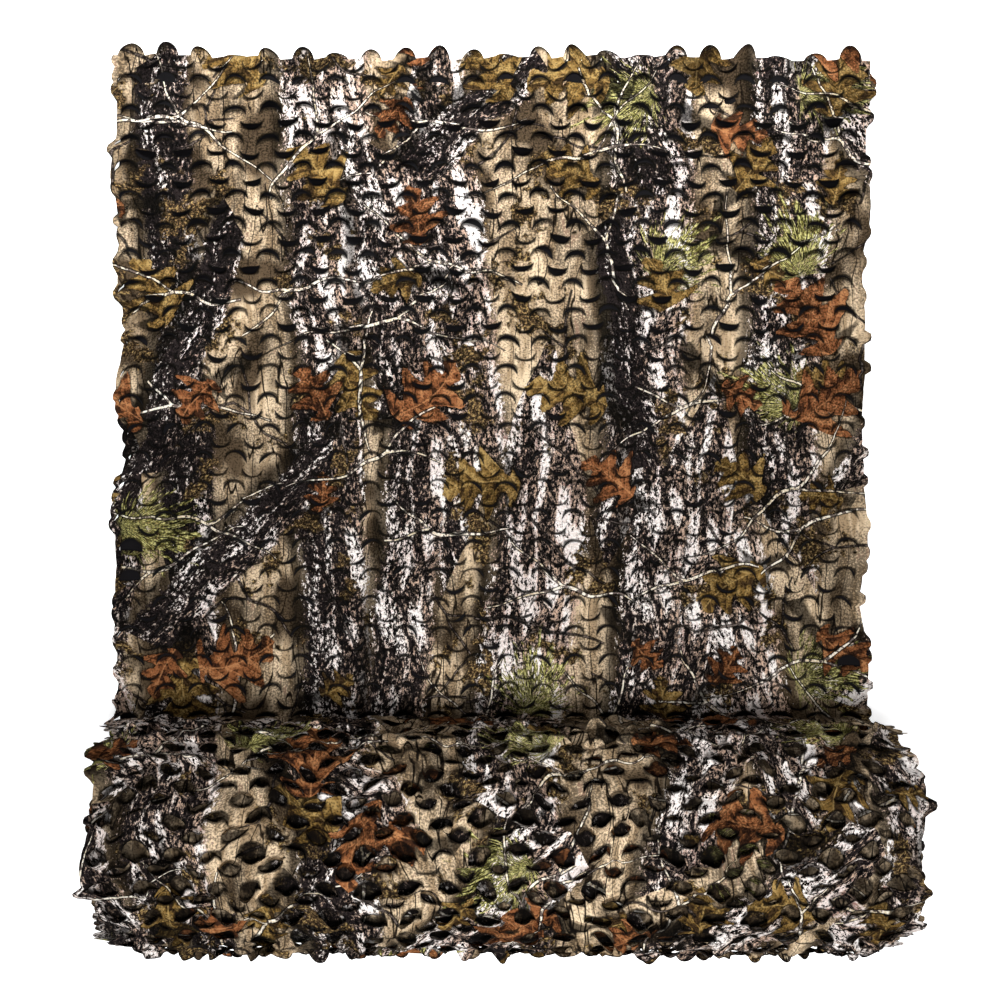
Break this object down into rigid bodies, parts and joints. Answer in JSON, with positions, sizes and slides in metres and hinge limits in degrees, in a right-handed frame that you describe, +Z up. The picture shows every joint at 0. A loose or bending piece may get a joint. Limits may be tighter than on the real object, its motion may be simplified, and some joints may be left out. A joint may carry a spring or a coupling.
{
  "type": "camouflage net",
  "caption": "Leaf-cut camouflage cloth in a wide roll, its free end laid out flat with the far edge turned under.",
  "frame": {"origin": "middle of the net's outline on the floor, under roll and laid part together", "axes": "+X across the net, +Y from the roll towards the turned-under end, +Z up"},
  "size_m": [1.5422, 1.7836, 0.4056],
  "materials": {
    "printed_cloth": "matt woven cloth with a printed woodland design"
  },
  "bodies": {
    "root": {"camouflage_net": "printed_cloth"}
  },
  "joints": []
}
